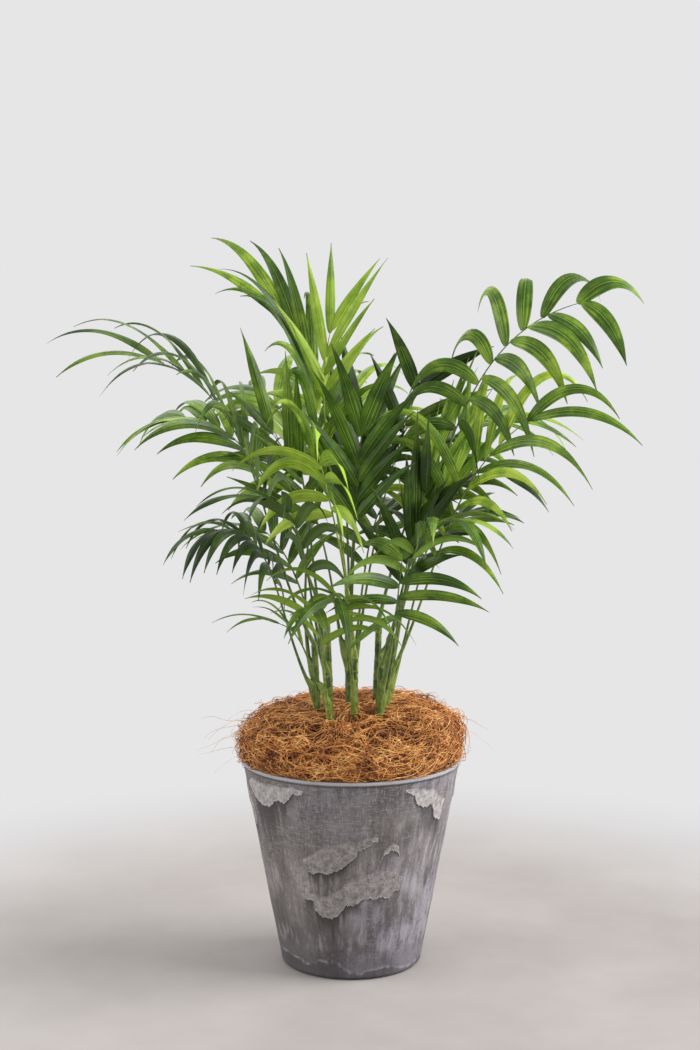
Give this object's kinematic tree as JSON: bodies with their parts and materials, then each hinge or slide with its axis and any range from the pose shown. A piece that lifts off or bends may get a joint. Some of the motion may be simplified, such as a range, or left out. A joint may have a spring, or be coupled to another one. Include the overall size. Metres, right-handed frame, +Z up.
{
  "type": "potted parlor palm",
  "caption": "Clump of feathery palm fronds on slender green canes, in a tapered round pot with soil and a coir mulch; stands on its flat underside.",
  "frame": {"origin": "middle of the pot's flat underside, which stands on the floor", "axes": "+Z up along the pot's axis, -Y towards the front of the crown as pictured, +X to its right"},
  "size_m": [0.478, 0.3375, 0.5921],
  "materials": {
    "weathered_pot": "matte",
    "soil": "matte",
    "coir": "matte",
    "cane": "satin",
    "petiole": "satin",
    "leaf_dark": "satin",
    "leaf_mid": "satin",
    "leaf_fresh": "satin",
    "leaf_light": "satin",
    "leaf_young": "satin"
  },
  "bodies": {
    "root": {"pot": "weathered_pot", "potting_soil": "soil", "coir_mulch": "coir", "cane_left": "cane", "cane_left_back": "cane", "cane_left_front": "cane", "cane_front": "cane", "cane_right_front": "cane", "cane_right": "cane", "cane_right_back": "cane", "cane_back": "cane", "cane_middle": "cane", "petiole_left_far": "petiole", "petiole_left_high": "petiole", "petiole_right_high": "petiole", "petiole_right_long": "petiole", "petiole_front_young": "petiole", "petiole_right_low": "petiole", "petiole_right_back_low": "petiole", "petiole_left_low": "petiole", "petiole_left_lowest": "petiole", "petiole_front_low": "petiole", "petiole_left_back": "petiole", "petiole_back_high": "petiole", "petiole_right_back": "petiole", "petiole_left_back_high": "petiole", "petiole_left_front": "petiole", "petiole_right_front": "petiole", "petiole_back_low": "petiole", "petiole_left_back_low": "petiole", "petiole_front_lowest": "petiole", "petiole_right_back_middle": "petiole", "frond_left_far": "leaf_dark", "frond_left_high": "leaf_mid", "frond_top_young": "leaf_young", "frond_right_high": "leaf_mid", "frond_right_long": "leaf_fresh", "frond_front_young": "leaf_young", "frond_right_low": "leaf_mid", "frond_right_back_low": "leaf_dark", "frond_left_low": "leaf_dark", "frond_left_lowest": "leaf_fresh", "frond_front_low": "leaf_fresh", "frond_left_back": "leaf_fresh", "frond_right_back_upright": "leaf_dark", "frond_right_spear": "leaf_fresh", "frond_middle_back": "leaf_dark", "frond_back_high": "leaf_mid", "frond_right_back": "leaf_mid", "frond_left_back_high": "leaf_mid", "frond_left_front": "leaf_dark", "frond_right_front": "leaf_mid", "frond_back_low": "leaf_dark", "frond_left_back_low": "leaf_mid", "frond_front_lowest": "leaf_light", "frond_middle_front": "leaf_mid", "frond_right_back_middle": "leaf_dark", "frond_right_spear_outer": "leaf_fresh", "frond_left_centre": "leaf_fresh", "frond_right_centre": "leaf_dark"}
  },
  "joints": []
}
